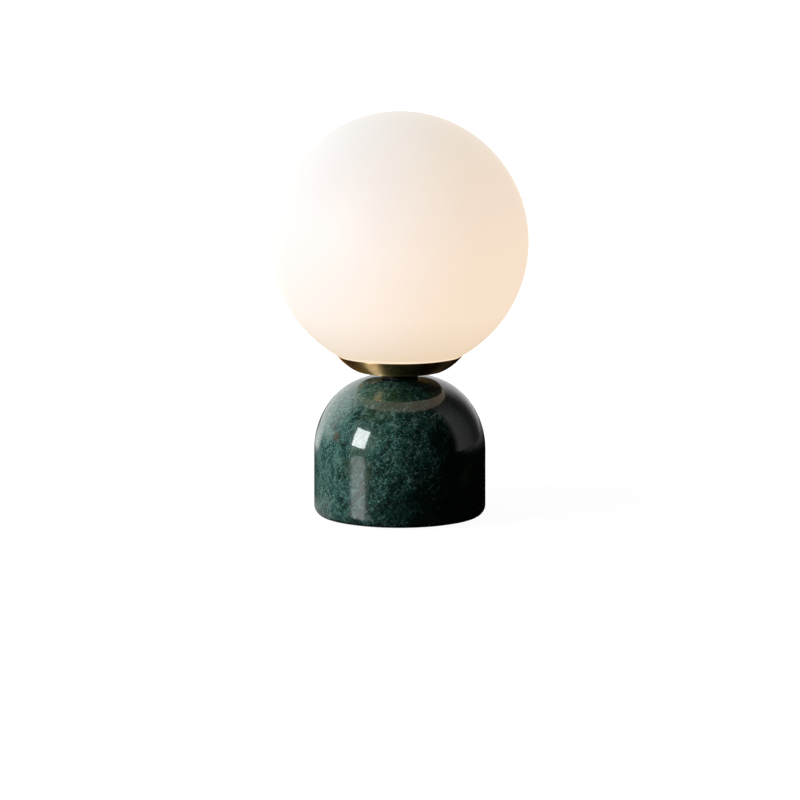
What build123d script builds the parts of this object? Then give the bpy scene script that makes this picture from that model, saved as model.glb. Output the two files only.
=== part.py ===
from build123d import *
import os
from math import acos, asin, degrees, radians, sqrt, tan

# Glass globe table lamp. An opal glass globe screws down into a shallow brass cup, which
# stands on a turned marble base. Millimetres, +Z up, the front faces -Y, and the origin is
# the middle of the resting face, under the pad.

# ---- marble base ---------------------------------------------------------------------
marble_radius = 50.0
marble_height = 81.9
top_flat_radius = 11.5       # flat on top of the dome, where the neck stands
shoulder_height = 42.9       # vertical half-axis of the elliptical shoulder
foot_rounding = 6.4
recess_radius = 30.0         # turned out of the underside, for the wiring
recess_depth = 24.0
rod_clearance = 0.4          # radial, between the rod and the marble
inlet_height = 13.5          # centre of the cord inlet, at the back

# ---- pad under the base --------------------------------------------------------------
pad_radius = 42.0
pad_thickness = 1.5
pad_proud = 0.5              # how far the pad stands out of its rebate
pad_rebate_clearance = 0.3

# ---- cord inlet bush -----------------------------------------------------------------
cord_bore_radius = 3.25
bush_wall = 1.15
bush_length = 17.0
bush_flange_radius = 6.2
bush_flange_thickness = 1.5
bush_mouth_chamfer = 0.8

# ---- hollow tie rod and what it clamps -----------------------------------------------
rod_radius = 5.0
rod_wall = 1.5               # leaves the hole that the leads run through
rod_below_nut = 2.0
rod_above_nut = 1.0
nut_across_flats = 17.0
nut_chamfer_share = 0.7      # of the corners' overhang past the flats
base_nut_thickness = 3.5
cup_nut_thickness = 3.0
plate_radius = 28.5
plate_thickness = 2.0
lock_washer_thickness = 1.5
lock_washer_radius = 9.0
lock_washer_teeth = 10
lock_tooth_length = 1.9
lock_tooth_width = 2.4
lock_tooth_root = 0.6        # how deep a tooth is rooted in the washer
gasket_thickness = 0.5
gasket_radius = 10.5
neck_height = 3.3
neck_radius = 11.0
neck_rounding = 0.4

# ---- brass cup -----------------------------------------------------------------------
cup_floor_radius = 25.5      # flat of the cup's underside
cup_rim_radius = 37.0
cup_flank_radius = 31.6      # of the arc from the flat up to the rim
cup_corner_rounding = 2.0    # where the flank leaves the flat
cup_wall = 1.0
rim_gap = 0.2                # between the cup's rim and the glass

# ---- glass globe and its threaded collar ----------------------------------------------
globe_radius = 75.0
globe_half_height = 76.0
glass_wall = 3.0
mouth_rounding = 0.5
cement_gap = 0.1             # between the glass and the collar cemented in its mouth
collar_wall = 3.0
collar_height = 10.8
flange_reach = 2.3           # how far the collar's flange stands out under the glass
flange_thickness = 1.2
seal_thickness = 1.0
seal_width = 3.9
seal_seat = 0.2              # from the cup's floor up to the seal

# ---- screw thread of the globe ---------------------------------------------------------
thread_radius = 20.25        # crest of the boss's thread
thread_height = 1.1
thread_pitch = 3.5
thread_turns = 1.5
thread_clearance = 0.3
thread_foot = 1.6            # width of a ridge where it leaves the wall
thread_crest = 0.8
thread_sink = 0.5            # how deep a ridge is rooted in the wall
thread_start = 3.4           # middle of the boss's lowest ridge, above the cup's floor

# ---- gallery boss ----------------------------------------------------------------------
boss_height = 10.2
boss_floor = 3.0
boss_wall = 6.5
boss_chamfer = 0.5

# ---- lampholder ------------------------------------------------------------------------
bracket_sheet = 1.0
bracket_bend = 0.5           # inside radius of its bends
bracket_width = 7.0
bracket_height = 12.0
bracket_ear_inner = 4.2
holder_radius = 10.5
holder_cap_height = 4.0
holder_body_height = 17.0
holder_screw_offset = 6.8
holder_screw_radius = 1.45
holder_screw_head_radius = 2.5
holder_screw_head_height = 1.6
holder_screw_head_cover = 1.0
pin_spacing = 9.0            # between the middles of the two pin loops
holder_rounding = 1.2
chamber_width = 6.0          # of the two hollows that hold the contacts
chamber_floor = 2.5          # ceramic between a chamber and the slot above it
pin_clearance = 0.4          # round the pins, in the ceramic
tongue_clearance = 0.3       # round the bulb's tongue, in the ceramic
contact_sheet = 0.4
contact_pinch = 0.7          # height of the grip, as a share of the contact's height
contact_shoulder = 0.3       # height where the strip starts to lean in, likewise
contact_side_room = 0.5

# ---- bulb ------------------------------------------------------------------------------
tongue_length = 14.6
tongue_width = 4.4
tongue_depth = 3.7
pin_wire_radius = 0.45
pin_loop_width = 2.4
pin_length = 10.0
pin_bend_share = 0.95        # of half a loop's width, taken by the bend at its end
bulb_base_radius = 7.6
bulb_base_height = 9.0
bulb_base_chamfer = 0.8
bulb_collar_wall = 0.9
bulb_collar_foot = 1.0       # how far the collar starts below the capsule
bulb_socket_depth = 4.0
capsule_radius = 7.4
capsule_length = 44.0
capsule_wall = 0.8
stem_radius = 1.1
stem_headroom = 14.0         # from the stem's top to the capsule's
filament_count = 4
filament_radius = 0.7
filament_margin = 2.5        # stem above and below the filaments
filament_circle = 3.8
support_wire_radius = 0.3

# ---- wiring under the base --------------------------------------------------------------
lead_radius = 1.0
lead_core_radius = 0.5
lead_spacing = 2.8           # between the two leads, inside the rod
lead_bend_share = 0.45       # of the shorter run beside a corner, taken by the bend
lead_swing = 5.0             # how far a lead passes the block before it turns in
live_loop = ((9.5, 0.5, 7.0), (18.0, -7.0, 8.5), (20.0, -17.0, 13.5))
neutral_loop = ((6.5, -3.0, 8.5), (13.5, -6.5, 12.0))
block_length = 17.0
block_height = 9.0
block_offset = 19.5          # middle of the block, in front of the rod
pole_pitch = 8.6
pole_width = 6.4
pole_rounding = 1.0
turret_radius = 2.4
turret_height = 2.0
turret_root = 1.0            # how deep a turret is rooted in its pole
clamp_radius = 2.2
clamp_wall = 0.8
clamp_length = 13.0
clamp_drop = 4.2             # middle of the clamps below the base plate
terminal_screw_radius = 1.25
terminal_screw_offset = 4.2
block_screw_radius = 1.45
block_screw_head_radius = 2.7
block_screw_head_height = 2.0
earth_screw_radius = 1.95
earth_screw_x = 19.0
earth_screw_y = 4.0
earth_screw_head_radius = 3.8
earth_screw_head_height = 2.6
earth_washer_radius = 4.5
earth_washer_thickness = 0.8
slot_width = 0.8
slot_depth = 1.0
head_rounding_share = 0.4    # of a screw head's height

# ---- fits --------------------------------------------------------------------------------
running_gap = 0.05           # radial, between a screw or rod and its hole
loose_gap = 0.3              # radial, between a piece and the hole that it drops into

# ---- heights, stacked from the table up ----------------------------------------------------
marble_bottom = pad_proud
marble_top = marble_bottom + marble_height
shoulder_start = marble_top - shoulder_height
recess_ceiling = marble_bottom + recess_depth
plate_bottom = recess_ceiling - plate_thickness
base_nut_top = plate_bottom - lock_washer_thickness
base_nut_bottom = base_nut_top - base_nut_thickness
rod_bottom = base_nut_bottom - rod_below_nut
neck_bottom = marble_top + gasket_thickness
cup_bottom = neck_bottom + neck_height
cup_floor = cup_bottom + cup_wall
seal_bottom = cup_floor + seal_seat
seal_top = seal_bottom + seal_thickness
boss_top = cup_floor + boss_height
bracket_bottom = cup_floor + boss_floor
bracket_top = bracket_bottom + bracket_height
cup_nut_bottom = bracket_bottom + bracket_sheet
cup_nut_top = cup_nut_bottom + cup_nut_thickness
rod_top = cup_nut_top + rod_above_nut
holder_cap_top = bracket_top + holder_cap_height
holder_top = holder_cap_top + holder_body_height
collar_bore = thread_radius + thread_clearance + cement_gap
collar_radius = collar_bore + collar_wall
mouth_radius = collar_radius + cement_gap
flange_radius = mouth_radius + flange_reach
mouth_edge = seal_top + flange_thickness + cement_gap
globe_centre = mouth_edge + globe_half_height * sqrt(1 - (mouth_radius / globe_radius) ** 2)

# ---- widths, worked out from what fits in what -------------------------------------------------
rod_bore = rod_radius - rod_wall
core_radius = thread_radius - thread_height
boss_bore = core_radius - boss_wall
rim_height = globe_centre - (globe_half_height + rim_gap) * sqrt(
    1 - (cup_rim_radius / (globe_radius + rim_gap)) ** 2
)
bracket_reach = sqrt((boss_bore - loose_gap) ** 2 - (bracket_width / 2) ** 2)
pin_loop_outside = pin_loop_width + 2 * pin_wire_radius
contact_width = pin_loop_outside
chamber_length = contact_width + 2 * contact_side_room
chamber_height = holder_body_height - tongue_depth - tongue_clearance - chamber_floor
contact_height = chamber_height - 3 * loose_gap
stem_length = capsule_length - stem_headroom
filament_length = stem_length - 2 * filament_margin
screw_seat = holder_top - holder_screw_head_height - holder_screw_head_cover
bush_radius = cord_bore_radius + bush_wall
inlet_face = marble_radius - bush_flange_thickness

STAND = (Align.CENTER, Align.CENTER, Align.MIN)
HANG = (Align.CENTER, Align.CENTER, Align.MAX)


# ---- shapes used all over the lamp -----------------------------------------------------------
def disc(radius, low, high):
    """A round plate between two heights."""
    return Pos(0, 0, low) * Cylinder(radius, high - low, align=STAND)


def ring(inner, outer, low, high):
    """A round plate with a round hole."""
    return disc(outer, low, high) - disc(inner, low, high)


def turned(outline):
    """Turn a closed outline, drawn as radius and height, about the lamp's axis."""
    return revolve(Plane.XZ * make_face(outline), Axis.Z)


def hex_nut(across_flats, bore, low, high):
    """A nut with both faces chamfered at the corners."""
    corner_radius = across_flats / sqrt(3)
    blank = Pos(0, 0, low) * extrude(RegularPolygon(corner_radius, 6), high - low)
    chamfered = disc(corner_radius, low, high)
    chamfered = chamfer(chamfered.edges(), (corner_radius - across_flats / 2) * nut_chamfer_share)
    return (blank & chamfered) - disc(bore, low, high)


def slotted_screw(shank_radius, length, head_radius, head_height):
    """A screw that points up from its head, with its head's bearing face at height 0."""
    head = Cylinder(head_radius, head_height, align=HANG)
    head = fillet(head.edges().sort_by(Axis.Z)[0], head_height * head_rounding_share)
    head -= Pos(0, 0, -head_height) * Box(2 * head_radius, slot_width, slot_depth, align=STAND)
    return head + Cylinder(shank_radius, length, align=STAND)


def helical_ridge(root_radius, crest_radius, start):
    """One ridge of a screw thread, rooted in the wall at root_radius."""
    reach = crest_radius - root_radius
    inward = reach / abs(reach)
    slope = (thread_foot - thread_crest) / 2 / thread_height
    root_half = thread_foot / 2 + slope * thread_sink
    crest_half = thread_crest / 2
    helix = Helix(thread_pitch, thread_pitch * thread_turns, root_radius, center=(0, 0, start))
    section_plane = Plane((root_radius, 0, start), x_dir=(1, 0, 0), z_dir=(0, -1, 0))
    outline = Polyline(
        (-inward * thread_sink, -root_half),
        (reach, -crest_half),
        (reach, crest_half),
        (-inward * thread_sink, root_half),
        close=True,
    )
    return sweep(section_plane * make_face(outline), path=helix, is_frenet=True)


def ellipsoid(grow):
    """The globe's outer form, grown evenly by a gap."""
    a = globe_radius + grow
    b = globe_half_height + grow
    arc = EllipticalCenterArc((0, globe_centre), a, b, -90, arc_size=180)
    return turned(arc + Line(arc @ 1, arc @ 0))


# ---- marble base and what closes it ------------------------------------------------------------
def at_the_back(depth_plane):
    """Local +Z runs out of the back of the base, from a given distance off the axis."""
    return Plane((0, depth_plane, inlet_height), x_dir=(1, 0, 0), z_dir=(0, 1, 0))


def make_marble_base():
    foot_centre = (marble_radius - foot_rounding, marble_bottom + foot_rounding)
    shoulder_width = marble_radius - top_flat_radius
    foot = CenterArc(foot_centre, foot_rounding, 270, 90)
    shoulder = EllipticalCenterArc(
        (top_flat_radius, shoulder_start), shoulder_width, shoulder_height, 0, arc_size=90
    )
    base_line = Line((0, marble_bottom), foot @ 0)
    side = Line(foot @ 1, shoulder @ 0)
    top = Polyline(shoulder @ 1, (0, marble_top), (0, marble_bottom))
    marble = turned(base_line + foot + side + shoulder + top)
    marble -= disc(rod_radius + rod_clearance, marble_bottom, marble_top)
    marble -= disc(recess_radius, marble_bottom, recess_ceiling)
    marble -= disc(pad_radius + pad_rebate_clearance, marble_bottom, pad_thickness)
    inlet = Cylinder(bush_radius + running_gap, marble_radius, align=HANG)
    spot_face = Cylinder(bush_flange_radius + loose_gap, marble_radius, align=STAND)
    return marble - at_the_back(inlet_face) * (inlet + spot_face)


def make_cord_bush():
    flange = Cylinder(bush_flange_radius, bush_flange_thickness, align=STAND)
    flange = fillet(flange.edges().sort_by(Axis.Z)[-1], bush_flange_thickness / 3)
    sleeve = Cylinder(bush_radius, bush_length - bush_flange_thickness, align=HANG)
    bore = Pos(0, 0, bush_flange_thickness) * Cylinder(cord_bore_radius, bush_length, align=HANG)
    mouth = Pos(0, 0, bush_flange_thickness) * Cone(
        cord_bore_radius, cord_bore_radius + bush_mouth_chamfer, bush_mouth_chamfer, align=HANG
    )
    return at_the_back(inlet_face) * (flange + sleeve - bore - mouth)


def make_base_pad():
    return disc(pad_radius, 0, pad_thickness)


# ---- tie rod, plate, washers and nuts ------------------------------------------------------------
def make_tie_rod():
    rod = ring(rod_bore, rod_radius, rod_bottom, rod_top)
    ends = rod.edges().filter_by(GeomType.CIRCLE).group_by(SortBy.RADIUS)[-1]
    return chamfer(ends, (rod_radius - rod_bore) / 3)


def make_base_plate():
    plate = ring(rod_radius + running_gap, plate_radius, plate_bottom, recess_ceiling)
    block_hole = disc(block_screw_radius + running_gap, plate_bottom, recess_ceiling)
    earth_hole = disc(earth_screw_radius + running_gap, plate_bottom, recess_ceiling)
    plate -= Pos(0, -block_offset, 0) * block_hole
    return plate - Pos(earth_screw_x, earth_screw_y, 0) * earth_hole


def make_lock_washer():
    body_radius = lock_washer_radius - lock_tooth_length
    washer = ring(rod_radius + running_gap, body_radius, base_nut_top, plate_bottom)
    tooth_length = lock_tooth_length + lock_tooth_root
    tooth = Box(tooth_length, lock_tooth_width, lock_washer_thickness, align=STAND)
    for copy in PolarLocations(lock_washer_radius - tooth_length / 2, lock_washer_teeth):
        washer += Pos(0, 0, base_nut_top) * copy * tooth
    return washer


def make_base_nut():
    return hex_nut(nut_across_flats, rod_radius + running_gap, base_nut_bottom, base_nut_top)


def make_cup_nut():
    return hex_nut(nut_across_flats, rod_radius + running_gap, cup_nut_bottom, cup_nut_top)


def make_neck_gasket():
    return ring(rod_radius + loose_gap, gasket_radius, marble_top, neck_bottom)


def make_neck_collar():
    collar = ring(rod_radius + running_gap, neck_radius, neck_bottom, cup_bottom)
    rims = collar.edges().filter_by(GeomType.CIRCLE).group_by(SortBy.RADIUS)[-1]
    return fillet(rims, neck_rounding)


# ---- brass cup -------------------------------------------------------------------------------------
def cup_flank_centre():
    """Middle of the arc that runs from the edge of the flat up to the rim."""
    run = cup_rim_radius - cup_floor_radius
    rise = rim_height - cup_bottom
    chord = sqrt(run**2 + rise**2)
    away = sqrt(cup_flank_radius**2 - (chord / 2) ** 2) / chord
    middle_radius = (cup_rim_radius + cup_floor_radius) / 2
    middle_height = (rim_height + cup_bottom) / 2
    return middle_radius - rise * away, middle_height + run * away


def cup_form(inset):
    """The dish as a full body, inset evenly, drawn a little past the rim."""
    centre = cup_flank_centre()
    radius = cup_flank_radius - inset
    floor_height = cup_bottom + inset
    low_angle = degrees(asin((centre[1] - floor_height) / radius))
    high_angle = degrees(asin((centre[1] - rim_height - cup_wall) / radius))
    flank = CenterArc(centre, radius, -low_angle, low_angle - high_angle)
    floor = Line((0, floor_height), flank @ 0)
    lid = Polyline(flank @ 1, (0, (flank @ 1).Y), (0, floor_height))
    return turned(floor + flank + lid)


def make_globe_cup():
    outside = cup_form(0)
    outside = fillet(outside.edges().group_by(Axis.Z)[0], cup_corner_rounding)
    glass_room = ellipsoid(rim_gap) - disc(cup_floor_radius, cup_bottom, mouth_edge)
    dish = outside - cup_form(cup_wall) - glass_room
    return dish - disc(rod_radius + running_gap, cup_bottom, cup_floor)


# ---- screw thread, boss, collar and seal --------------------------------------------------------------
boss_thread_start = cup_floor + thread_start
collar_thread_start = boss_thread_start + thread_pitch / 2


def make_gallery_boss():
    foot = disc(thread_radius, cup_floor, seal_bottom)
    boss = foot + disc(core_radius, cup_floor, boss_top)
    boss = chamfer(boss.edges().sort_by(Axis.Z)[-1], boss_chamfer)
    boss += helical_ridge(core_radius, thread_radius, boss_thread_start)
    boss -= disc(boss_bore, bracket_bottom, boss_top)
    return boss - disc(rod_radius + running_gap, cup_floor, boss_top)


def make_globe_collar():
    flange = disc(flange_radius, seal_top, globe_centre) - ellipsoid(cement_gap)
    tube = disc(collar_radius, seal_top, seal_top + collar_height)
    collar = flange & disc(flange_radius, seal_top, seal_top + collar_height)
    collar += tube
    collar -= disc(collar_bore, seal_top, seal_top + collar_height)
    return collar + helical_ridge(collar_bore, core_radius + thread_clearance, collar_thread_start)


def make_globe_seal():
    seal_bore = thread_radius + thread_clearance
    return ring(seal_bore, seal_bore + seal_width, seal_bottom, seal_top)


def globe_meridian(radius, half_height):
    """The globe's outline from the mouth up to the crown."""
    mouth_angle = degrees(acos(mouth_radius / radius))
    centre = (0, globe_centre)
    return EllipticalCenterArc(centre, radius, half_height, -mouth_angle, arc_size=90 + mouth_angle)


def make_globe_glass():
    outside = globe_meridian(globe_radius, globe_half_height)
    inside = globe_meridian(globe_radius - glass_wall, globe_half_height - glass_wall)
    crown = Line(outside @ 1, inside @ 1)
    mouth = Line(inside @ 0, outside @ 0)
    glass = turned(outside + crown + inside + mouth)
    lips = glass.edges().filter_by(GeomType.CIRCLE).group_by(SortBy.RADIUS)[0]
    return fillet(lips, mouth_rounding)


# ---- lampholder --------------------------------------------------------------------------------------------
def make_holder_bracket():
    leg = bracket_reach - bracket_sheet
    outer = Rectangle(2 * bracket_reach, bracket_height, align=(Align.CENTER, Align.MIN))
    inner_height = bracket_height - 2 * bracket_sheet
    inner = Pos(0, bracket_sheet) * Rectangle(2 * leg, inner_height, align=(Align.CENTER, Align.MIN))
    outer = fillet(outer.vertices(), bracket_bend + bracket_sheet)
    inner = fillet(inner.vertices(), bracket_bend)
    opening = Pos(0, bracket_height / 2) * Rectangle(2 * bracket_ear_inner, bracket_height)
    opening = Pos(0, bracket_height / 2) * opening
    strip = extrude(Plane.XZ * (outer - inner - opening), bracket_width / 2, both=True)
    strip = Pos(0, 0, bracket_bottom) * strip
    strip += disc(bracket_reach - bracket_sheet, bracket_bottom, cup_nut_bottom)
    strip -= disc(rod_radius + running_gap, bracket_bottom, cup_nut_bottom)
    for side in (-1, 1):
        hole = disc(holder_screw_radius + running_gap, cup_nut_top, bracket_top)
        strip -= Pos(side * holder_screw_offset, 0, 0) * hole
    return strip


def holder_screw_holes(low, high):
    hole = disc(holder_screw_radius + running_gap, low, high)
    return Pos(-holder_screw_offset, 0, 0) * hole + Pos(holder_screw_offset, 0, 0) * hole


def make_holder_cap():
    cap = disc(holder_radius, bracket_top, holder_cap_top)
    for side in (-1, 1):
        lead_hole = disc(lead_radius + loose_gap, bracket_top, holder_cap_top)
        cap -= Pos(0, side * pin_spacing / 2, 0) * lead_hole
    return cap - holder_screw_holes(bracket_top, holder_cap_top)


def make_holder_body():
    body = disc(holder_radius, holder_cap_top, holder_top)
    body = fillet(body.edges().sort_by(Axis.Z)[-1], holder_rounding)
    body -= Pos(0, 0, holder_top) * bulb_tongue(tongue_clearance)
    chamber = Box(chamber_width, chamber_length, chamber_height, align=STAND)
    pin_slot_width = 2 * (pin_wire_radius + pin_clearance)
    pin_slot_length = pin_loop_outside + 2 * pin_clearance
    pin_slot = Box(pin_slot_width, pin_slot_length, holder_body_height, align=STAND)
    head_room = disc(holder_screw_head_radius + loose_gap, screw_seat, holder_top)
    for side in (-1, 1):
        body -= Pos(0, side * pin_spacing / 2, holder_cap_top) * (chamber + pin_slot)
        body -= Pos(side * holder_screw_offset, 0, 0) * head_room
    return body - holder_screw_holes(holder_cap_top, holder_top)


def make_holder_contacts():
    """A folded spring strip for each pin, pinched where it grips the pin's loop."""
    grip = pin_wire_radius + running_gap + contact_sheet / 2
    wall = chamber_width / 2 - loose_gap - contact_sheet / 2
    half = [
        ((grip + wall) / 2, contact_height - contact_sheet / 2),
        (grip, contact_height * contact_pinch),
        (wall, contact_height * contact_shoulder),
        (wall, contact_sheet / 2),
    ]
    fold = Polyline(half + [(-x, z) for x, z in reversed(half)])
    strip = make_face(Wire(fold.edges()).offset_2d(contact_sheet / 2))
    contact = Pos(0, 0, holder_cap_top) * extrude(Plane.XZ * strip, contact_width / 2, both=True)
    contact -= disc(lead_core_radius + running_gap, holder_cap_top, holder_cap_top + 2 * contact_sheet)
    return [Pos(0, side * pin_spacing / 2, 0) * contact for side in (-1, 1)]


def make_holder_screws():
    length = screw_seat - bracket_top + 2 * bracket_sheet
    screw = slotted_screw(
        holder_screw_radius, length, holder_screw_head_radius, holder_screw_head_height
    )
    screw = Pos(0, 0, screw_seat) * Rot(180, 0, 0) * screw
    return [Pos(side * holder_screw_offset, 0, 0) * screw for side in (-1, 1)]


# ---- bulb ----------------------------------------------------------------------------------------------------
bulb_floor = holder_top + bulb_base_height - bulb_socket_depth
capsule_top = bulb_floor + capsule_length
filament_bottom = bulb_floor + (stem_length - filament_length) / 2


def bulb_tongue(grow):
    """The flat tongue under the bulb, hanging from height 0, grown evenly by a gap."""
    return Box(
        tongue_width + 2 * grow, tongue_length + 2 * grow, tongue_depth + grow, align=HANG
    )


def make_bulb_base():
    base = disc(bulb_base_radius, holder_top, holder_top + bulb_base_height)
    collar_radius_outside = capsule_radius + cement_gap + bulb_collar_wall
    collar_bottom = bulb_floor - bulb_collar_foot
    collar = disc(collar_radius_outside, collar_bottom, holder_top + bulb_base_height)
    base = chamfer((base + collar).edges().sort_by(Axis.Z)[0], bulb_base_chamfer)
    base -= disc(capsule_radius + cement_gap, bulb_floor, holder_top + bulb_base_height)
    return base + Pos(0, 0, holder_top) * bulb_tongue(0)


def make_bulb_pins():
    """Two wire loops, closed at the bottom, that plug into the contacts."""
    pin_top = holder_top - tongue_depth
    half = pin_loop_width / 2
    low = -pin_length + pin_wire_radius
    bend = half * pin_bend_share
    legs = FilletPolyline((-half, 0), (-half, low), (half, low), (half, 0), radius=bend)
    loop = sweep(Plane((-half, 0, 0)) * Circle(pin_wire_radius), path=Plane.XZ * legs)
    loop = Rot(0, 0, 90) * loop
    return [Pos(0, side * pin_spacing / 2, pin_top) * loop for side in (-1, 1)]


def make_bulb_capsule():
    outer = capsule_form(0)
    return outer - capsule_form(capsule_wall)


def capsule_form(inset):
    """A tube with a round end, inset evenly."""
    radius = capsule_radius - inset
    spring_line = capsule_top - capsule_radius
    dome = CenterArc((0, spring_line), radius, 0, 90)
    wall = Polyline((0, bulb_floor), (radius, bulb_floor), dome @ 0)
    return turned(wall + dome + Line(dome @ 1, (0, bulb_floor)))


def make_bulb_stem():
    """A post with a wire arm to each end of every filament."""
    stem = disc(stem_radius, bulb_floor, bulb_floor + stem_length)
    arm = Rot(0, 90, 0) * Cylinder(support_wire_radius, filament_circle, align=STAND)
    low = filament_bottom - support_wire_radius
    high = filament_bottom + filament_length + support_wire_radius
    for turn in PolarLocations(0, filament_count):
        stem += Pos(0, 0, low) * turn * arm
        stem += Pos(0, 0, high) * turn * arm
    return stem


def make_bulb_filaments():
    filament = disc(filament_radius, filament_bottom, filament_bottom + filament_length)
    return [place * filament for place in PolarLocations(filament_circle, filament_count)]


# ---- wiring under the base --------------------------------------------------------------------------------------
clamp_height = plate_bottom - clamp_drop
block_bottom = plate_bottom - block_height
turret_bottom = block_bottom - turret_height
pole_places = (-block_offset - pole_pitch / 2, -block_offset + pole_pitch / 2)


def along_x(radius, length):
    """A rod that lies along X, with its middle at the origin."""
    return Rot(0, 90, 0) * Cylinder(radius, length)


def terminal_places():
    return [
        Pos(side * terminal_screw_offset, y, 0) for y in pole_places for side in (-1, 1)
    ]


def make_terminal_block():
    pole = Box(block_length, pole_width, block_height)
    pole = fillet(pole.edges().filter_by(Axis.X), pole_rounding)
    web = Box(block_length / 2, pole_pitch, block_height / 2)
    block = Pos(0, -block_offset, plate_bottom - block_height / 4) * web
    for y in pole_places:
        block += Pos(0, y, plate_bottom - block_height / 2) * pole
    for place in terminal_places():
        block += place * disc(turret_radius, turret_bottom, block_bottom + turret_root)
    for place in terminal_places():
        block -= place * disc(terminal_screw_radius + loose_gap, turret_bottom, clamp_height)
    for y in pole_places:
        block -= Pos(0, y, clamp_height) * along_x(clamp_radius + running_gap, block_length)
    screw_hole = disc(block_screw_radius + running_gap, turret_bottom, plate_bottom)
    return block - Pos(0, -block_offset, 0) * screw_hole


def make_terminal_clamps():
    """A brass tube in each pole, drilled for its two screws."""
    bore = clamp_radius - clamp_wall
    tube = along_x(clamp_radius, clamp_length) - along_x(bore, clamp_length)
    for side in (-1, 1):
        hole = Cylinder(terminal_screw_radius + running_gap, clamp_radius, align=HANG)
        tube -= Pos(side * terminal_screw_offset, 0, 0) * hole
    return [Pos(0, y, clamp_height) * tube for y in pole_places]


def make_terminal_screws():
    """Headless screws, whose tips stop at the wire's core."""
    tip = clamp_height - lead_core_radius - running_gap
    screw = disc(terminal_screw_radius, turret_bottom + slot_depth / 2, tip)
    slot = Box(2 * terminal_screw_radius, slot_width, slot_depth, align=STAND)
    screw -= Pos(0, 0, turret_bottom + slot_depth / 2) * slot
    return [place * screw for place in terminal_places()]


def make_block_screw():
    length = recess_ceiling - block_bottom
    screw = slotted_screw(
        block_screw_radius, length, block_screw_head_radius, block_screw_head_height
    )
    return Pos(0, -block_offset, block_bottom) * screw


def make_earth_washer():
    washer = ring(
        earth_screw_radius + running_gap,
        earth_washer_radius,
        plate_bottom - earth_washer_thickness,
        plate_bottom,
    )
    return Pos(earth_screw_x, earth_screw_y, 0) * washer


def make_earth_screw():
    length = plate_thickness + earth_washer_thickness
    screw = slotted_screw(
        earth_screw_radius, length, earth_screw_head_radius, earth_screw_head_height
    )
    return Pos(earth_screw_x, earth_screw_y, plate_bottom - earth_washer_thickness) * screw


def arc_radii(points):
    """A bend for each corner, as large as the shorter run beside the corner lets it be."""
    radii = []
    for before, corner, after in zip(points, points[1:], points[2:]):
        incoming = Vector(corner) - Vector(before)
        outgoing = Vector(after) - Vector(corner)
        shorter = min(incoming.length, outgoing.length)
        half_turn = radians(incoming.get_angle(outgoing) / 2)
        radii.append(lead_bend_share * shorter / tan(half_turn))
    return radii


def make_lead(side, loop, pole):
    """From a contact down through the rod, round under the plate and into a pole."""
    contact_y = side * pin_spacing / 2
    rod_y = side * lead_spacing / 2
    sleeve_top = holder_cap_top - lead_radius
    sleeve_end = clamp_length / 2 + loose_gap
    route = [
        (0, contact_y, sleeve_top),
        (0, contact_y, bracket_top - 2 * lead_radius),
        (0, rod_y, rod_top + lead_radius / 2),
        (0, rod_y, rod_bottom - 3 * lead_radius),
    ]
    route += loop
    route.append((block_length / 2 + lead_swing, pole, clamp_height))
    route.append((sleeve_end, pole, clamp_height))
    path = FilletPolyline(route, radius=arc_radii(route))
    lead = sweep(Plane((0, contact_y, sleeve_top)) * Circle(lead_radius), path=path)
    lead += Pos(0, contact_y, 0) * disc(
        lead_core_radius, sleeve_top - lead_radius, holder_cap_top + 2 * contact_sheet
    )
    core = Rot(0, 90, 0) * Cylinder(lead_core_radius, sleeve_end, align=HANG)
    return lead + Pos(sleeve_end + lead_radius, pole, clamp_height) * core


def make_lead_live():
    return make_lead(1, live_loop, pole_places[0])


def make_lead_neutral():
    return make_lead(-1, neutral_loop, pole_places[1])


# ---- the whole lamp -------------------------------------------------------------------------------------------------
lamp = {
    "base_pad": make_base_pad,
    "marble_base": make_marble_base,
    "cord_bush": make_cord_bush,
    "tie_rod": make_tie_rod,
    "base_plate": make_base_plate,
    "lock_washer": make_lock_washer,
    "base_nut": make_base_nut,
    "earth_washer": make_earth_washer,
    "earth_screw": make_earth_screw,
    "terminal_block": make_terminal_block,
    "terminal_clamps": make_terminal_clamps,
    "terminal_screws": make_terminal_screws,
    "block_screw": make_block_screw,
    "lead_live": make_lead_live,
    "lead_neutral": make_lead_neutral,
    "neck_gasket": make_neck_gasket,
    "neck_collar": make_neck_collar,
    "globe_cup": make_globe_cup,
    "gallery_boss": make_gallery_boss,
    "holder_bracket": make_holder_bracket,
    "cup_nut": make_cup_nut,
    "holder_cap": make_holder_cap,
    "holder_body": make_holder_body,
    "holder_contacts": make_holder_contacts,
    "holder_screws": make_holder_screws,
    "bulb_pins": make_bulb_pins,
    "bulb_base": make_bulb_base,
    "bulb_stem": make_bulb_stem,
    "bulb_filaments": make_bulb_filaments,
    "bulb_capsule": make_bulb_capsule,
    "globe_seal": make_globe_seal,
    "globe_collar": make_globe_collar,
    "globe_glass": make_globe_glass,
}

os.makedirs("parts", exist_ok=True)
for name, make in lamp.items():
    piece = make()
    if isinstance(piece, list):
        piece = Compound(children=piece)
    export_step(piece, f"parts/{name}.step")
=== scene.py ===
import math

import bmesh
import bpy
from mathutils import Matrix, Vector

# The looks of a glass globe table lamp: a lit opal globe in a shallow aged brass cup, on a
# turned and polished green marble base. Metres, +Z up, the front faces -Y. Angles round the
# lamp are counted from the front, positive to the right as the front is seen.

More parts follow.
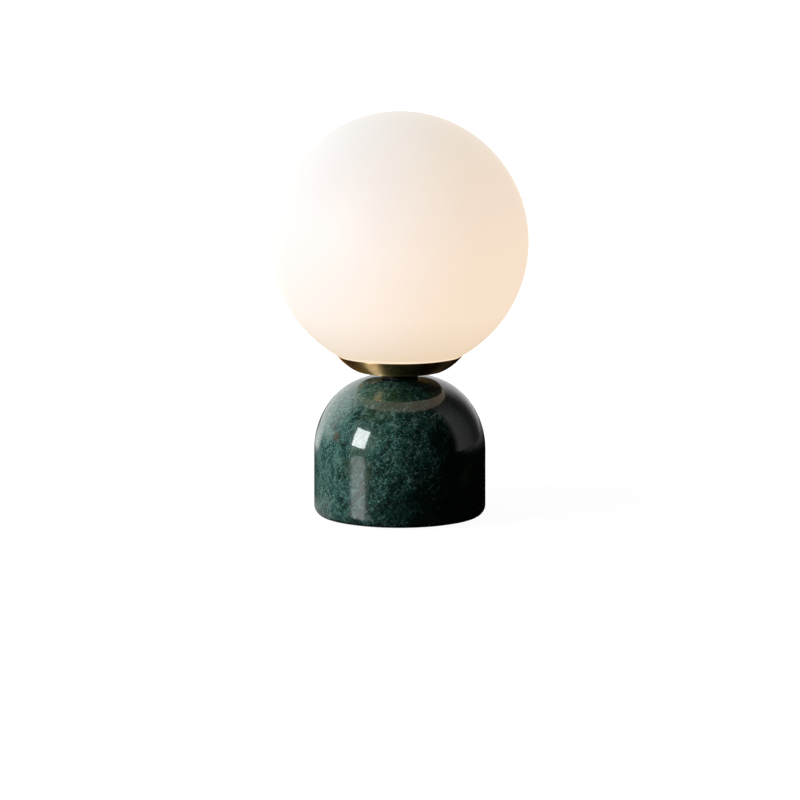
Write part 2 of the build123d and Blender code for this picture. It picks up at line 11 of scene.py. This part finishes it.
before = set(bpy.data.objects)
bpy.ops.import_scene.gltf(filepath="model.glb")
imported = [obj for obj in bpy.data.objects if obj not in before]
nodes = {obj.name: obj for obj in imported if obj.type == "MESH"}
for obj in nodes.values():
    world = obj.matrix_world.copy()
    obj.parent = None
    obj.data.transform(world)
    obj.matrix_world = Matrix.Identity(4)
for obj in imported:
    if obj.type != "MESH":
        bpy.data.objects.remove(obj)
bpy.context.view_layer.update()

MM = 0.001
UP = (0, 0, 1)
BLACK = (0, 0, 0)
WINDOW_SIDE = math.radians(-57)


# ---- shader maths ------------------------------------------------------------------------------

class Value:
    """One socket. Arithmetic on it adds Math nodes to the same tree."""

    def __init__(self, wiring, socket):
        self.wiring = wiring
        self.socket = socket

    def maths(self, operation, *terms):
        return self.wiring.node("ShaderNodeMath", {"operation": operation}, dict(enumerate(terms)))

    def __add__(self, other):
        return self.maths("ADD", self, other)

    __radd__ = __add__

    def __sub__(self, other):
        return self.maths("SUBTRACT", self, other)

    def __rsub__(self, other):
        return self.maths("SUBTRACT", other, self)

    def __mul__(self, other):
        return self.maths("MULTIPLY", self, other)

    __rmul__ = __mul__

    def __truediv__(self, other):
        return self.maths("DIVIDE", self, other)

    def angle_with(self, other):
        """The angle, in radians, of the point that lies this far across and other far ahead."""
        return self.maths("ARCTAN2", self, other)

    def size(self):
        return self.maths("ABSOLUTE", self)

    def most(self, other):
        return self.maths("MAXIMUM", self, other)

    def ease(self, low, high, start=0.0, end=1.0):
        """A smooth step from start, where this is low, to end, where it is high."""
        settings = {"interpolation_type": "SMOOTHSTEP"}
        values = {"Value": self, "From Min": low, "From Max": high, "To Min": start, "To Max": end}
        return self.wiring.node("ShaderNodeMapRange", settings, values)


class Wiring:
    """A tree of nodes. Its node method adds any node, and the other methods rest on that one."""

    def __init__(self, tree):
        self.tree = tree

    def node(self, kind, settings=None, sockets=None, out=0):
        made = self.tree.nodes.new(kind)
        for name, setting in (settings or {}).items():
            if name == "stops":
                self.set_stops(made.color_ramp, setting)
            else:
                setattr(made, name, setting)
        for name, given in (sockets or {}).items():
            self.feed(made.inputs[name], given)
        return Value(self, made.outputs[out])

    def feed(self, socket, given):
        """Links a value to a socket, or sets the socket to a colour, a vector or a number."""
        if isinstance(given, Value):
            self.tree.links.new(given.socket, socket)
        elif socket.type == "RGBA":
            socket.default_value = (*given, 1.0)
        else:
            socket.default_value = given

    def set_stops(self, ramp, stops):
        while len(ramp.elements) < len(stops):
            ramp.elements.new(1.0)
        for element, (place, colour) in zip(ramp.elements, stops):
            element.position = place
            element.color = (*colour, 1.0)

    def seen(self):
        """1 where the camera, a reflection or a view through glass meets the surface, else 0."""
        camera_ray = self.node("ShaderNodeLightPath", out="Is Camera Ray")
        mirror_ray = self.node("ShaderNodeLightPath", out="Is Glossy Ray")
        glass_ray = self.node("ShaderNodeLightPath", out="Is Transmission Ray")
        return camera_ray.most(mirror_ray).most(glass_ray)

    def show(self, plain, shown, share, output):
        """Ends the tree in one shader, with a share of a second one."""
        both = self.node("ShaderNodeMixShader", {}, {0: share, 1: plain, 2: shown})
        self.feed(self.tree.nodes[output].inputs["Surface"], both)


class Finish(Wiring):
    """One material. Its patterns read Object coordinates."""

    def __init__(self, name):
        self.material = bpy.data.materials.new(name)
        self.material.use_nodes = True
        super().__init__(self.material.node_tree)
        self.shader = self.tree.nodes["Principled BSDF"]
        self.here = self.node("ShaderNodeTexCoord", out="Object")

    def surface(self, **sockets):
        """Feeds the shader's sockets; base_color stands for Base Color, and so on."""
        for name, given in sockets.items():
            title = name.replace("_", " ").title().replace("Ior", "IOR")
            self.feed(self.shader.inputs[title], given)
        return self.material

    def ramp(self, value, *stops):
        return self.node("ShaderNodeValToRGB", {"stops": stops}, {"Fac": value})

    def tint(self, factor, a, b):
        """Colour a where the factor is 0, and colour b where it is 1."""
        return self.node("ShaderNodeMix", {"data_type": "RGBA"}, {0: factor, 6: a, 7: b}, out=2)

    def placed(self, scale=(1, 1, 1), shift=(0, 0, 0)):
        """Object coordinates, stretched and shifted."""
        sockets = {"Vector": self.here, "Location": shift, "Scale": scale}
        return self.node("ShaderNodeMapping", {}, sockets)

    def noise(self, scale, detail=4.0, roughness=0.5, distortion=0.0, at=None):
        """A cloudy pattern between 0 and 1, with scale as its patches to the metre."""
        sockets = {"Vector": at or self.here, "Scale": scale, "Detail": detail,
                   "Roughness": roughness, "Distortion": distortion}
        return self.node("ShaderNodeTexNoise", {}, sockets)

    def cells(self, scale, out="Distance"):
        """Random cells, scale of them to the metre: the distance to the nearest one's middle."""
        return self.node("ShaderNodeTexVoronoi", {"feature": "F1"},
                         {"Vector": self.here, "Scale": scale}, out=out)

    def along(self, direction):
        """How far the point lies along a direction, in metres."""
        return self.node("ShaderNodeVectorMath", {"operation": "DOT_PRODUCT"},
                         {0: self.here, 1: direction}, out="Value")

    def from_point(self, point):
        """How far the surface lies from a point, in metres."""
        return self.node("ShaderNodeVectorMath", {"operation": "DISTANCE"},
                         {0: self.here, 1: point}, out="Value")

    def off_axis(self):
        """How far the point lies from the lamp's upright axis, in metres."""
        flat = self.node("ShaderNodeVectorMath", {"operation": "MULTIPLY"},
                         {0: self.here, 1: (1, 1, 0)})
        return self.node("ShaderNodeVectorMath", {"operation": "LENGTH"}, {0: flat}, out="Value")

    def turned(self):
        """Coordinates that stay the same all round the lamp, for the rings that a lathe leaves."""
        return self.node("ShaderNodeCombineXYZ", {}, {"X": self.off_axis(), "Y": self.along(UP)})

    def side_angle(self):
        """Degrees round the lamp."""
        return self.along((1, 0, 0)).angle_with(self.along((0, -1, 0))) * math.degrees(1)

    def relief(self, height, strength, depth):
        sockets = {"Strength": strength, "Distance": depth, "Height": height}
        self.feed(self.shader.inputs["Normal"], self.node("ShaderNodeBump", {}, sockets))


# ---- polished green marble ---------------------------------------------------------------------

# the stone's colours from its dark ground to its palest mineral, each at its tone
MARBLE_TONES = (
    (0.24, (0.0012, 0.0060, 0.0046)),
    (0.40, (0.0058, 0.0260, 0.0212)),
    (0.52, (0.0175, 0.0640, 0.0540)),
    (0.64, (0.0450, 0.1250, 0.1060)),
    (0.82, (0.1250, 0.2450, 0.2150)),
)
MOSS_GREEN = (0.034, 0.066, 0.022)
BLOT_GREEN = (0.0030, 0.0085, 0.0070)
PALE_MINERAL = (0.130, 0.215, 0.180)
CREVICE_GREEN = (0.0022, 0.0070, 0.0058)
SPECK_GREEN = (0.210, 0.300, 0.260)
RUST = (0.120, 0.052, 0.016)
RUST_SPOT = (-36.5 * MM, -31.5 * MM, 52 * MM)

# the healed cracks: direction, stretch along it, cells to the metre, width, share, seed
HEALED_CRACKS = (
    ((0.55, 0.25, 0.80), 3.4, 150, 0.34 * MM, 0.12, 1.7),
    ((0.68, -0.30, 0.66), 4.2, 105, 0.38 * MM, 0.13, 3.1),
    ((-0.60, 0.35, 0.72), 3.6, 135, 0.32 * MM, 0.09, 5.3),
    ((0.20, 0.70, 0.68), 2.0, 260, 0.26 * MM, 0.11, 7.9),
    ((0.85, 0.40, 0.34), 2.6, 190, 0.28 * MM, 0.08, 11.3),
)
CREVICES = ((0.60, 0.10, 0.79), 3.0, 120, 0.55 * MM, 0.10, 17.9)


def drawn_out(f, direction, stretch, seed):
    """Coordinates that draw a pattern out along a direction, and that a seed moves elsewhere."""
    along = Vector(direction).normalized()
    side = along.orthogonal().normalized()
    parts = {"X": f.along(along) / stretch + seed, "Y": f.along(side) + seed,
             "Z": f.along(along.cross(side)) - seed}
    return f.node("ShaderNodeCombineXYZ", {}, parts)


def crack_web(f, direction, stretch, cells, width, share, seed):
    """A web of fine cracks: the bent walls of stone cells, of which a share shows in patches."""
    drawn = drawn_out(f, direction, stretch, seed)
    bend = f.node("ShaderNodeTexNoise", {},
                  {"Vector": drawn, "Scale": 1.6 * cells, "Detail": 3.0}, out="Color")
    bent = f.node("ShaderNodeVectorMath", {"operation": "MULTIPLY_ADD"},
                  {0: bend, 1: (0.55 / cells,) * 3, 2: drawn})
    wall = f.node("ShaderNodeTexVoronoi", {"feature": "DISTANCE_TO_EDGE"},
                  {"Vector": bent, "Scale": cells}, out="Distance")
    patch = f.noise(1.7 * cells, detail=4, roughness=0.65, at=drawn)
    line = wall.ease(0.1 * width * cells, width * cells, 1.0, 0.0)
    return line * patch.ease(0.62 - share, 0.70 - share)


def make_marble():
    f = Finish("polished green marble")
    bedding = drawn_out(f, (0.62, 0.25, 0.74), 2.0, 0.7)
    steep = drawn_out(f, (0.55, 0.25, 0.80), 5.0, 3.3)
    crossing = drawn_out(f, (0.42, -0.30, 0.86), 5.0, 6.1)

    # the ground: clouds, a mottle along the bedding, and grain
    cloud = f.noise(20, detail=5, roughness=0.6, distortion=0.6,
                    at=f.placed(shift=(0.31, 0.12, 0.07)))
    mottle = f.noise(125, detail=5, roughness=0.62, distortion=0.8, at=bedding)
    grain = f.noise(620, detail=3, roughness=0.65, distortion=0.8)
    # painted light: paler to the front left, lit by the window, and upwards, lit by the globe
    painted_light_gradient = (f.along((-0.93, -0.32, 0.34)) * 5.6).most(-0.09)
    ground = 0.46 * cloud + 0.44 * mottle + 0.50 * grain + painted_light_gradient - 0.49
    rich = ground.ease(0.24, 0.50)

    # crystals: flecks in clusters, and short pale and dark strokes, all stronger in the rich parts
    clusters = f.noise(150, detail=3, roughness=0.6, at=f.placed(shift=(0.2, 0.6, -0.3)))
    flecks = f.noise(1250, detail=1, roughness=0.5, distortion=0.6).ease(0.53, 0.68)
    flecks = flecks * clusters.ease(0.36, 0.56)
    pale_strokes = f.noise(640, detail=2, roughness=0.6, distortion=0.3, at=steep)
    dark_strokes = f.noise(520, detail=2, roughness=0.6, distortion=0.3, at=crossing)
    crystals = 0.50 * flecks + 0.12 * pale_strokes.ease(0.55, 0.68)
    crystals = crystals - 0.12 * dark_strokes.ease(0.56, 0.68)
    stone = f.ramp(ground + rich * crystals, *MARBLE_TONES)

    mossy = f.noise(34, detail=4, roughness=0.6, at=f.placed(shift=(-0.4, 0.2, 0.5)))
    stone = f.tint(mossy.ease(0.54, 0.68, 0.0, 0.45), stone, MOSS_GREEN)
    blots = f.noise(90, detail=6, roughness=0.75, distortion=1.6,
                    at=f.placed(shift=(0.9, 0.1, 0.3)))
    stone = f.tint(blots.ease(0.56, 0.63, 0.0, 0.75), stone, BLOT_GREEN)

    healed = crack_web(f, *HEALED_CRACKS[0])
    for crack in HEALED_CRACKS[1:]:
        healed = healed.most(crack_web(f, *crack))
    stone = f.tint(healed * rich * 0.75, stone, PALE_MINERAL)
    stone = f.tint(crack_web(f, *CREVICES) * 0.75, stone, CREVICE_GREEN)

    specks = f.cells(520).ease(0.08, 0.24, 1.0, 0.0) * f.noise(260, detail=2).ease(0.58, 0.66)
    stone = f.tint(specks * rich * 0.6, stone, SPECK_GREEN)
    rusty = f.from_point(RUST_SPOT) + 6 * MM * mottle
    stone = f.tint(rusty.ease(4.2 * MM, 6.4 * MM, 0.45, 0.0), stone, RUST)

    f.relief(healed + 0.4 * mottle, strength=0.02, depth=0.05 * MM)
    # the polish mirrors sharply, and the stone under it spreads a little light round a reflection
    return f.surface(base_color=stone, roughness=0.24 + 0.06 * mottle, specular_ior_level=0.11,
                     coat_weight=0.90, coat_roughness=0.05, coat_ior=1.5)


# ---- aged brass --------------------------------------------------------------------------------

CUP_UNDERSIDE = 86.7 * MM
CUP_RIM = 95.2 * MM
GLINT_BRIGHTER = 1.45


def make_aged_brass(name, bright, plain, dark, roughness, glint_share):
    """Brass spun on a lathe and darkened with age. Its foot and rim get painted highlights.

    The fine rings spread a reflection upright, so the gloss is drawn out across them.
    """
    f = Finish(name)
    rings = f.turned()
    spun = f.noise(4200, detail=4, roughness=0.7, at=rings)
    bands = f.noise(700, detail=3, roughness=0.6, at=rings)
    tarnish = f.noise(55, detail=6, roughness=0.65, distortion=0.6)
    brass = f.ramp(tarnish + 0.25 * bands - 0.12, (0.28, bright), (0.48, plain), (0.66, dark))
    height = f.along(UP)
    # painted highlights: the foot's edge glints with the window, the rim with the glowing glass
    painted_foot_glint = height.ease(CUP_UNDERSIDE, CUP_UNDERSIDE + 1.3 * MM, glint_share, 0.0)
    painted_rim_glint = height.ease(CUP_RIM - 0.7 * MM, CUP_RIM, 0.0, glint_share)
    brass = f.tint(painted_foot_glint + painted_rim_glint, brass, [GLINT_BRIGHTER * part for part in bright])
    f.relief(spun + 0.5 * bands, strength=0.10, depth=0.02 * MM)
    return f.surface(base_color=brass, metallic=1.0,
                     roughness=roughness + 0.06 * tarnish + 0.04 * spun,
                     anisotropic=1.0, anisotropic_rotation=0.25, specular_tint=(0.78, 0.38, 0.11))


# ---- opal glass, lit from inside ---------------------------------------------------------------

GLASS_SHOWS_FROM = 94.6 * MM
GLASS_SHOWS_FOR = 143.2 * MM
# the colours of the glow, from the cup's rim up to the crown of the globe
GLOW_TONES = (
    (0.0, (1.0, 0.790, 0.560)),
    (0.009, (1.0, 0.790, 0.560)),
    (0.016, (0.820, 0.635, 0.430)),
    (0.06, (0.850, 0.665, 0.480)),
    (0.20, (0.930, 0.735, 0.555)),
    (0.45, (0.920, 0.735, 0.570)),
    (0.80, (0.850, 0.705, 0.570)),
    (1.0, (0.800, 0.710, 0.610)),
)


def make_opal_glass():
    f = Finish("lit opal glass")
    soft = f.noise(9, detail=3, roughness=0.5)
    cast = f.noise(2600, detail=3, roughness=0.6)
    place = (f.along(UP) - GLASS_SHOWS_FROM) / GLASS_SHOWS_FOR + 0.04 * soft - 0.02
    skin = f.tint(0.08 * soft, (0.095, 0.190, 0.290), (0.078, 0.172, 0.265))
    f.relief(cast, strength=0.04, depth=0.02 * MM)
    return f.surface(base_color=skin, roughness=0.50 + 0.08 * cast, specular_ior_level=0.20,
                     emission_color=f.ramp(place, *GLOW_TONES), emission_strength=1.0)


# ---- the finishes of the pieces inside ---------------------------------------------------------

def make_plain(name, light, dark, scale, roughness, spread=0.08, dent=0.05, depth=0.02 * MM,
               **constant):
    """A finish that varies between two colours, with a fine grain in its gloss and relief."""
    f = Finish(name)
    blotch = f.noise(scale, detail=6, roughness=0.62, distortion=0.4)
    fine = f.noise(12 * scale, detail=3, roughness=0.6)
    colour = f.tint(blotch.ease(0.32, 0.68), light, dark)
    f.relief(0.6 * fine + 0.4 * blotch, strength=dent, depth=depth)
    return f.surface(base_color=colour, roughness=roughness + spread * fine, **constant)


def make_turned(name, light, dark, roughness, pitch):
    """Metal off the lathe, with the tool's fine rings round the lamp's axis."""
    f = Finish(name)
    tool = f.noise(1 / pitch, detail=4, roughness=0.65, at=f.turned())
    blotch = f.noise(70, detail=5, roughness=0.6)
    colour = f.tint((0.5 * tool + 0.5 * blotch).ease(0.35, 0.65), light, dark)
    f.relief(tool, strength=0.2, depth=0.02 * MM)
    return f.surface(base_color=colour, metallic=1.0, roughness=roughness + 0.12 * tool)


def make_foam():
    f = Finish("black foam pad")
    bubbles = f.cells(1500)
    patch = f.noise(90, detail=4)
    colour = f.tint(bubbles.ease(0.1, 0.6), (0.012, 0.012, 0.012), (0.030, 0.030, 0.029))
    colour = f.tint(patch.ease(0.4, 0.7, 0.0, 0.4), colour, (0.040, 0.039, 0.036))
    f.relief(bubbles, strength=0.5, depth=0.15 * MM)
    return f.surface(base_color=colour, roughness=0.85 - 0.08 * patch, specular_ior_level=0.3)


def make_zinc():
    f = Finish("zinc plated steel")
    spangle = f.node("ShaderNodeSeparateColor", {}, {"Color": f.cells(420, out="Color")})
    cloud = f.noise(80, detail=5, roughness=0.6)
    colour = f.tint(spangle * 0.5, (0.62, 0.63, 0.64), (0.46, 0.47, 0.49))
    colour = f.tint(cloud.ease(0.45, 0.7, 0.0, 0.5), colour, (0.56, 0.53, 0.42))
    f.relief(spangle, strength=0.04, depth=0.02 * MM)
    return f.surface(base_color=colour, metallic=1.0, roughness=0.24 + 0.14 * spangle)


def make_filament():
    f = Finish("yellow phosphor coating")
    coat = f.noise(1400, detail=4, roughness=0.7)
    colour = f.tint(coat.ease(0.35, 0.65), (0.90, 0.62, 0.18), (0.78, 0.50, 0.12))
    f.relief(coat, strength=0.4, depth=0.05 * MM)
    return f.surface(base_color=colour, roughness=0.55 + 0.1 * coat,
                     emission_color=colour, emission_strength=2.0)


def make_clear_glass():
    f = Finish("clear bulb glass")
    drawn = f.noise(60, detail=2, at=f.placed(scale=(1, 1, 0.2)))
    colour = f.tint(drawn, (0.985, 0.99, 0.99), (0.955, 0.97, 0.965))
    f.relief(drawn, strength=0.05, depth=0.2 * MM)
    return f.surface(base_color=colour, roughness=0.01 + 0.02 * drawn, ior=1.47,
                     transmission_weight=1.0)


def make_fibre():
    f = Finish("vulcanised fibre washer")
    threads = f.noise(900, detail=5, roughness=0.7, at=f.placed(scale=(1, 0.25, 4)))
    colour = f.tint(threads.ease(0.35, 0.65), (0.022, 0.017, 0.014), (0.012, 0.010, 0.009))
    f.relief(threads, strength=0.35, depth=0.05 * MM)
    return f.surface(base_color=colour, roughness=0.6 + 0.15 * threads)


# ---- each finish goes on its pieces ------------------------------------------------------------

finishes = {
    "pad_foam": make_foam(),
    "marble": make_marble(),
    "aged_brass": make_aged_brass(
        "aged spun brass", bright=(0.800, 0.560, 0.290), plain=(0.700, 0.470, 0.225),
        dark=(0.360, 0.205, 0.072), roughness=0.305, glint_share=0.80),
    "opal_glass": make_opal_glass(),
    "clear_glass": make_clear_glass(),
    "filament": make_filament(),
    "zinc_steel": make_zinc(),
    "fibre": make_fibre(),
    "steel": make_turned(
        "bright steel", (0.60, 0.60, 0.61), (0.48, 0.48, 0.50), roughness=0.26, pitch=0.4 * MM),
    "aluminium": make_turned(
        "turned aluminium", (0.80, 0.80, 0.81), (0.66, 0.66, 0.68), roughness=0.28,
        pitch=0.5 * MM),
    "brass_plain": make_plain(
        "plain brass", (0.72, 0.52, 0.22), (0.60, 0.41, 0.16), scale=160, roughness=0.26,
        spread=0.10, metallic=1.0),
    "nickel": make_plain(
        "nickel plate", (0.66, 0.62, 0.55), (0.57, 0.53, 0.47), scale=240, roughness=0.18,
        spread=0.10, metallic=1.0),
    "black_nylon": make_plain(
        "black nylon", (0.018, 0.018, 0.019), (0.028, 0.028, 0.029), scale=180, roughness=0.42,
        spread=0.12),
    "white_nylon": make_plain(
        "white nylon", (0.80, 0.79, 0.75), (0.74, 0.73, 0.68), scale=120, roughness=0.42,
        spread=0.10),
    "lead_brown": make_plain(
        "brown lead sleeve", (0.115, 0.045, 0.018), (0.085, 0.032, 0.013), scale=200,
        roughness=0.40),
    "lead_blue": make_plain(
        "blue lead sleeve", (0.020, 0.085, 0.330), (0.014, 0.062, 0.260), scale=200,
        roughness=0.40),
    "steatite": make_plain(
        "steatite ceramic", (0.80, 0.77, 0.69), (0.72, 0.68, 0.59), scale=260, roughness=0.34,
        spread=0.14, dent=0.15, depth=0.05 * MM),
    "bulb_ceramic": make_plain(
        "white bulb ceramic", (0.86, 0.85, 0.81), (0.80, 0.78, 0.73), scale=150, roughness=0.26,
        spread=0.12),
    "silicone": make_plain(
        "clear silicone seal", (0.62, 0.62, 0.60), (0.54, 0.54, 0.51), scale=140, roughness=0.45,
        spread=0.12, subsurface_weight=0.2),
}

for piece in nodes.values():
    for slot in piece.material_slots:
        slot.material = finishes[slot.material.name.split(".")[0]]

# painted shade: the short neck, in the shade between the cup and the stone, is painted near black
nodes["neck_collar"].material_slots[0].material = make_aged_brass(
    "brass painted black as shade", bright=(0.060, 0.040, 0.022), plain=(0.036, 0.024, 0.014),
    dark=(0.018, 0.012, 0.008), roughness=0.42, glint_share=0.0)


# ---- the floor ---------------------------------------------------------------------------------

def add_plane(name, width, height, finish):
    """A level square sheet, centred on the lamp."""
    mesh = bpy.data.meshes.new(name)
    shape = bmesh.new()
    bmesh.ops.create_grid(shape, x_segments=1, y_segments=1, size=0.5)
    place = Matrix.Translation((0, 0, height)) @ Matrix.Diagonal((width, width, 1, 1))
    bmesh.ops.transform(shape, matrix=place, verts=shape.verts)
    shape.to_mesh(mesh)
    shape.free()
    made = bpy.data.objects.new(name, mesh)
    made.data.materials.append(finish)
    bpy.context.scene.collection.objects.link(made)
    return made


def make_floor():
    """Pale paper, shown four fifths white near the lamp, where it keeps the shadow, and all
    white far away."""
    f = Finish("pale floor")
    f.surface(base_color=(0.50, 0.50, 0.50), roughness=0.6, specular_ior_level=0.0)
    paper = Value(f, f.shader.outputs[0])
    white = f.node("ShaderNodeEmission", {}, {"Strength": 1.2})
    far = f.node("ShaderNodeVectorMath", {"operation": "LENGTH"}, {0: f.here}, out="Value")
    f.show(paper, white, f.seen() * far.ease(0.10, 0.60, 0.80, 1.0), "Material Output")
    return f.material


# the floor lies a hair under the pad, so that their faces don't share a plane
floor = add_plane("floor", width=14.0, height=-0.3 * MM, finish=make_floor())


# ---- what the polished stone and the brass mirror ----------------------------------------------

DARK = (0.004, 0.004, 0.004)


def only_mirrored(card):
    """Only reflections meet the card: the camera doesn't, and it lights and shades nothing."""
    card.visible_camera = False
    card.visible_diffuse = False
    card.visible_transmission = False
    card.visible_shadow = False


def make_dark_cloth():
    return Finish("dark curtain").surface(base_color=DARK, roughness=1.0, specular_ior_level=0.0)


def make_pale_cloth(name, level, shares, foot_fades_from=180):
    """A pale cloth. Its brightness changes round the lamp by shares of a level, and it dims
    towards its top. To the right of foot_fades_from, in degrees, its foot fades to black."""
    f = Finish(name)
    side = f.side_angle()
    height = f.along(UP)
    stops = [(0.5 + angle / 360, (share,) * 3) for angle, share in shares]
    brightness = f.ramp(0.5 + side / 360, *stops)
    whole_foot = side.ease(foot_fades_from - 4, foot_fades_from + 4, 1.0, 0.0)
    upright = height.ease(0.02, 0.42).most(whole_foot) * height.ease(2.0, 3.2, 1.0, 0.45)
    return f.surface(base_color=BLACK, roughness=1.0, specular_ior_level=0.0,
                     emission_color=f.tint(upright, BLACK, brightness), emission_strength=level)


def add_curtain(name, radius, high, from_side, to_side, finish):
    """An upright bent sheet round the lamp, between two angles in degrees."""
    shape = bmesh.new()
    angle = math.radians(from_side)
    start = Vector((radius * math.sin(angle), -radius * math.cos(angle), 0))
    foot = shape.verts.new(start)
    top = shape.verts.new(start + high * Vector(UP))
    edge = shape.edges.new((foot, top))
    bmesh.ops.spin(shape, geom=[foot, top, edge], cent=(0, 0, 0), axis=UP,
                   angle=math.radians(to_side - from_side), steps=32)
    mesh = bpy.data.meshes.new(name)
    shape.to_mesh(mesh)
    shape.free()
    made = bpy.data.objects.new(name, mesh)
    bpy.context.scene.collection.objects.link(made)
    made.data.materials.append(finish)
    only_mirrored(made)


def make_table_finish():
    """A dark table top, with painted reflections at its back and painted lamp light by the lamp.
    """
    f = Finish("dark table")
    side = f.side_angle()
    far = f.off_axis()
    # painted reflections of the curtains, at the table's back on both sides
    left_back = side.ease(-165, -148) * side.ease(-138, -130, 1.25, 0.0) * far.ease(0.20, 0.42)
    right_back = side.ease(88, 100) * far.ease(0.3, 0.9, 0.0, 0.14)
    pale = left_back + right_back
    pale = f.node("ShaderNodeCombineXYZ", {}, {"X": pale, "Y": pale, "Z": pale})
    # painted light: the lamp's warm light on the table, left of the lamp and close to it
    by_lamp = far.ease(0.10, 0.40, 0.05, 0.0)
    front_left = side.ease(-50, -20, 1.0, 0.0) * side.ease(-140, -110)
    painted_lamp_light = f.tint(front_left * by_lamp, BLACK, (1.0, 0.50, 0.14))
    light = f.node("ShaderNodeVectorMath", {"operation": "ADD"}, {0: painted_lamp_light, 1: pale})
    return f.surface(base_color=DARK, roughness=1.0, specular_ior_level=0.0,
                     emission_color=light, emission_strength=1.0)


def make_table_gloss():
    """The polish of the table towards the window, duller with the distance, soft at its sides.

    The stone mirrors the window's light in it, as a pale strip under the window itself.
    """
    f = Finish("table gloss")
    across = f.along((math.cos(WINDOW_SIDE), math.sin(WINDOW_SIDE), 0))
    towards = f.along((math.sin(WINDOW_SIDE), -math.cos(WINDOW_SIDE), 0))
    far = f.off_axis()
    in_strip = (across - 24 * MM).size().ease(0.06, 0.13, 1.0, 0.0)
    share = in_strip * far.ease(0.7, 1.0, 1.0, 0.0) * towards.ease(0.0, 0.03)
    return f.surface(base_color=DARK, roughness=far.ease(0.10, 0.50, 0.31, 0.40),
                     specular_ior_level=0.9, ior=2.0, alpha=share)


# angles round the lamp, each with its share of the curtain's brightness
LEFT_SHARES = ((-170, 0.65), (-150, 0.85), (-138, 1.0), (-112, 1.0), (-100, 0.15), (-92, 0.0))
RIGHT_SHARES = ((80, 0.1), (88, 0.95), (104, 0.60), (114, 0.35), (124, 0.13), (138, 0.10),
                (148, 0.6), (158, 1.4))

table = add_plane("dark_table", width=5.4, height=0.4 * MM, finish=make_table_finish())
only_mirrored(table)
gloss = add_plane("table_gloss", width=2.0, height=0.7 * MM, finish=make_table_gloss())
only_mirrored(gloss)
add_curtain("dark_curtain", radius=2.5, high=12.0, from_side=-94, to_side=93,
            finish=make_dark_cloth())
add_curtain("left_curtain", radius=2.4, high=5.0, from_side=-170, to_side=-84,
            finish=make_pale_cloth("bright curtain", 1.30, LEFT_SHARES, foot_fades_from=-132))
add_curtain("right_curtain", radius=2.4, high=5.0, from_side=80, to_side=160,
            finish=make_pale_cloth("dim curtain", 0.5, RIGHT_SHARES))


# ---- the light ---------------------------------------------------------------------------------

world = bpy.data.worlds.new("studio")
bpy.context.scene.world = world
world.use_nodes = True
sky = Wiring(world.node_tree)
ambient = sky.tree.nodes["Background"]
sky.feed(ambient.inputs["Color"], (0.86, 0.93, 1.0))
sky.feed(ambient.inputs["Strength"], 0.06)
backdrop = sky.node("ShaderNodeBackground", {}, {"Strength": 1.0})
sky.show(Value(sky, ambient.outputs[0]), backdrop, sky.seen(), "World Output")

DAYLIGHT = (0.93, 0.97, 1.0)
LIT_MIDDLE = Vector((0, 0, 0.05))


def add_panel(name, side, rise, distance, width, height, power, roll=0.0):
    """A soft rectangular lamp that faces the middle of the object."""
    lamp = bpy.data.lights.new(name, "AREA")
    lamp.shape = "RECTANGLE"
    lamp.size = width
    lamp.size_y = height
    lamp.energy = power
    lamp.color = DAYLIGHT
    made = bpy.data.objects.new(name, lamp)
    level = math.cos(rise)
    away = Vector((math.sin(side) * level, -math.cos(side) * level, math.sin(rise)))
    facing = away.to_track_quat("Z", "Y").to_matrix().to_4x4()
    place = Matrix.Translation(LIT_MIDDLE + distance * away)
    made.matrix_world = place @ facing @ Matrix.Rotation(roll, 4, "Z")
    made.visible_camera = False
    bpy.context.scene.collection.objects.link(made)
    return made


add_panel("window", WINDOW_SIDE, math.radians(18.7), distance=1.2, width=0.43, height=0.49,
          power=12.5, roll=math.radians(-4))
side_panel = add_panel("side_panel", math.radians(-126), math.radians(18), distance=1.4,
                       width=1.3, height=0.95, power=8.5)
side_panel.visible_glossy = False


# ---- the camera --------------------------------------------------------------------------------

VIEW_RISE = math.radians(9.24)
VIEW_DISTANCE = 6.0
AIM = Vector((0.0001, 0, 0.0684))

lens = bpy.data.cameras.new("camera")
lens.lens = 463.0
lens.sensor_width = 36.0
lens.clip_end = 60.0
camera = bpy.data.objects.new("camera", lens)
away = Vector((0, -math.cos(VIEW_RISE), math.sin(VIEW_RISE)))
camera.location = AIM + VIEW_DISTANCE * away
camera.rotation_euler = away.to_track_quat("Z", "Y").to_euler()
bpy.context.scene.collection.objects.link(camera)
bpy.context.scene.camera = camera
bpy.context.scene.view_settings.view_transform = "Standard"
